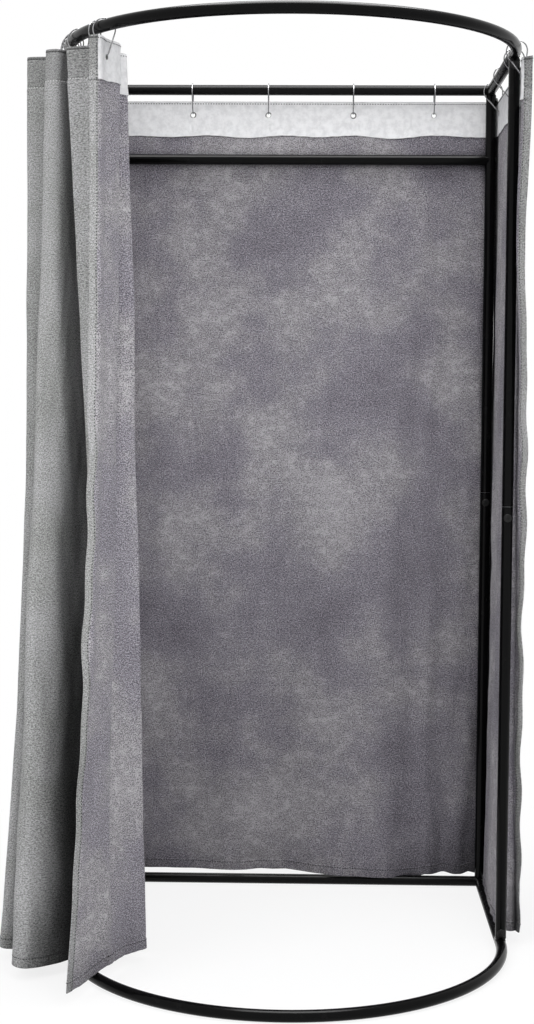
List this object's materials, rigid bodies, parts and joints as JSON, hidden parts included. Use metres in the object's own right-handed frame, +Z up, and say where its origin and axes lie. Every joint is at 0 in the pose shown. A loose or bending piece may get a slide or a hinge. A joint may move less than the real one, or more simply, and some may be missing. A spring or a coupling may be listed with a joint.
{
  "type": "portable fitting room",
  "caption": "Free-standing fitting room: a bolted frame of round steel tube with a rounded front, and a curtain on wire hooks that slides along the top rail.",
  "frame": {"origin": "on the floor, under the middle of the rear base rail", "axes": "+Z up, -Y towards the rounded front with the doorway, +X to the right of somebody who looks in"},
  "size_m": [1.1683, 1.024, 2.0047],
  "materials": {
    "tube": "satin black powder coat",
    "coupler": "galvanised",
    "bolt": "blackened steel",
    "hook_wire": "bright nickel-plated wire",
    "cloth": "grey suede-like woven cloth"
  },
  "bodies": {
    "frame": {"base_rear_frame": "tube", "base_front_arc": "tube", "top_rear_frame": "tube", "top_front_arc": "tube", "crossbar": "tube", "upright_rear_left_lower": "tube", "upright_rear_left_upper": "tube", "upright_rear_right_lower": "tube", "upright_rear_right_upper": "tube", "upright_front_left_lower": "tube", "upright_front_left_upper": "tube", "upright_front_right_lower": "tube", "upright_front_right_upper": "tube", "coupler_rear_left": "coupler", "coupler_rear_right": "coupler", "coupler_front_left": "coupler", "coupler_front_right": "coupler", "bolt_base_rear_left": "bolt", "bolt_base_rear_right": "bolt", "bolt_base_front_left": "bolt", "bolt_base_front_right": "bolt", "bolt_middle_rear_left": "bolt", "bolt_middle_rear_right": "bolt", "bolt_middle_front_left": "bolt", "bolt_middle_front_right": "bolt", "bolt_top_rear_left": "bolt", "bolt_top_rear_right": "bolt", "bolt_top_front_left": "bolt", "bolt_top_front_right": "bolt", "bolt_crossbar_rear_left": "bolt", "bolt_crossbar_rear_right": "bolt", "curtain_left_wall": "cloth", "curtain_rear_wall": "cloth", "curtain_right_wall": "cloth", "hook_left_1": "hook_wire", "hook_left_2": "hook_wire", "hook_rear_1": "hook_wire", "hook_rear_2": "hook_wire", "hook_rear_3": "hook_wire", "hook_rear_4": "hook_wire", "hook_rear_5": "hook_wire", "hook_right_1": "hook_wire", "hook_right_2": "hook_wire", "hook_right_front": "hook_wire", "hook_gather_1": "hook_wire"},
    "carrier_2": {"hook_gather_2": "hook_wire"},
    "carrier_3": {"hook_gather_3": "hook_wire"},
    "carrier_4": {"hook_gather_4": "hook_wire"},
    "carrier_5": {"hook_gather_5": "hook_wire"},
    "carrier_6": {"hook_gather_6": "hook_wire"},
    "curtain_lead": {"hook_gather_7": "hook_wire", "curtain_gathered_end": "cloth"},
    "short_end_lead": {"hook_right_lead": "hook_wire", "curtain_short_end": "cloth"}
  },
  "joints": [
    {"name": "curtain_draw", "type": "hinge", "parent": "frame", "child": "carrier_2", "pos_m": [0, -0.5025, 1.9875], "axis": [0, 0, 1], "range_deg": [0, 19.5]},
    {"name": "carrier_3_slide", "type": "hinge", "parent": "carrier_2", "child": "carrier_3", "pos_m": [0, -0.5025, 1.9875], "axis": [0, 0, 1], "range_deg": [0, 20.5]},
    {"name": "carrier_4_slide", "type": "hinge", "parent": "carrier_3", "child": "carrier_4", "pos_m": [0, -0.5025, 1.9875], "axis": [0, 0, 1], "range_deg": [0, 20.5]},
    {"name": "carrier_5_slide", "type": "hinge", "parent": "carrier_4", "child": "carrier_5", "pos_m": [0, -0.5025, 1.9875], "axis": [0, 0, 1], "range_deg": [0, 20.5]},
    {"name": "carrier_6_slide", "type": "hinge", "parent": "carrier_5", "child": "carrier_6", "pos_m": [0, -0.5025, 1.9875], "axis": [0, 0, 1], "range_deg": [0, 20.5]},
    {"name": "curtain_lead_slide", "type": "hinge", "parent": "carrier_6", "child": "curtain_lead", "pos_m": [0, -0.5025, 1.9875], "axis": [0, 0, 1], "range_deg": [0, 12], "deforming": ["curtain_gathered_end"]},
    {"name": "short_end_slide", "type": "hinge", "parent": "frame", "child": "short_end_lead", "pos_m": [0, -0.5025, 1.9875], "axis": [0, 0, 1], "range_deg": [-12, 5], "deforming": ["curtain_short_end"]}
  ],
  "couplings": [
    {"joint": "carrier_3_slide", "follows": "curtain_draw", "ratio": 1},
    {"joint": "carrier_4_slide", "follows": "curtain_draw", "ratio": 1},
    {"joint": "carrier_5_slide", "follows": "curtain_draw", "ratio": 1},
    {"joint": "carrier_6_slide", "follows": "curtain_draw", "ratio": 1},
    {"joint": "curtain_lead_slide", "follows": "curtain_draw", "ratio": 0.58}
  ]
}
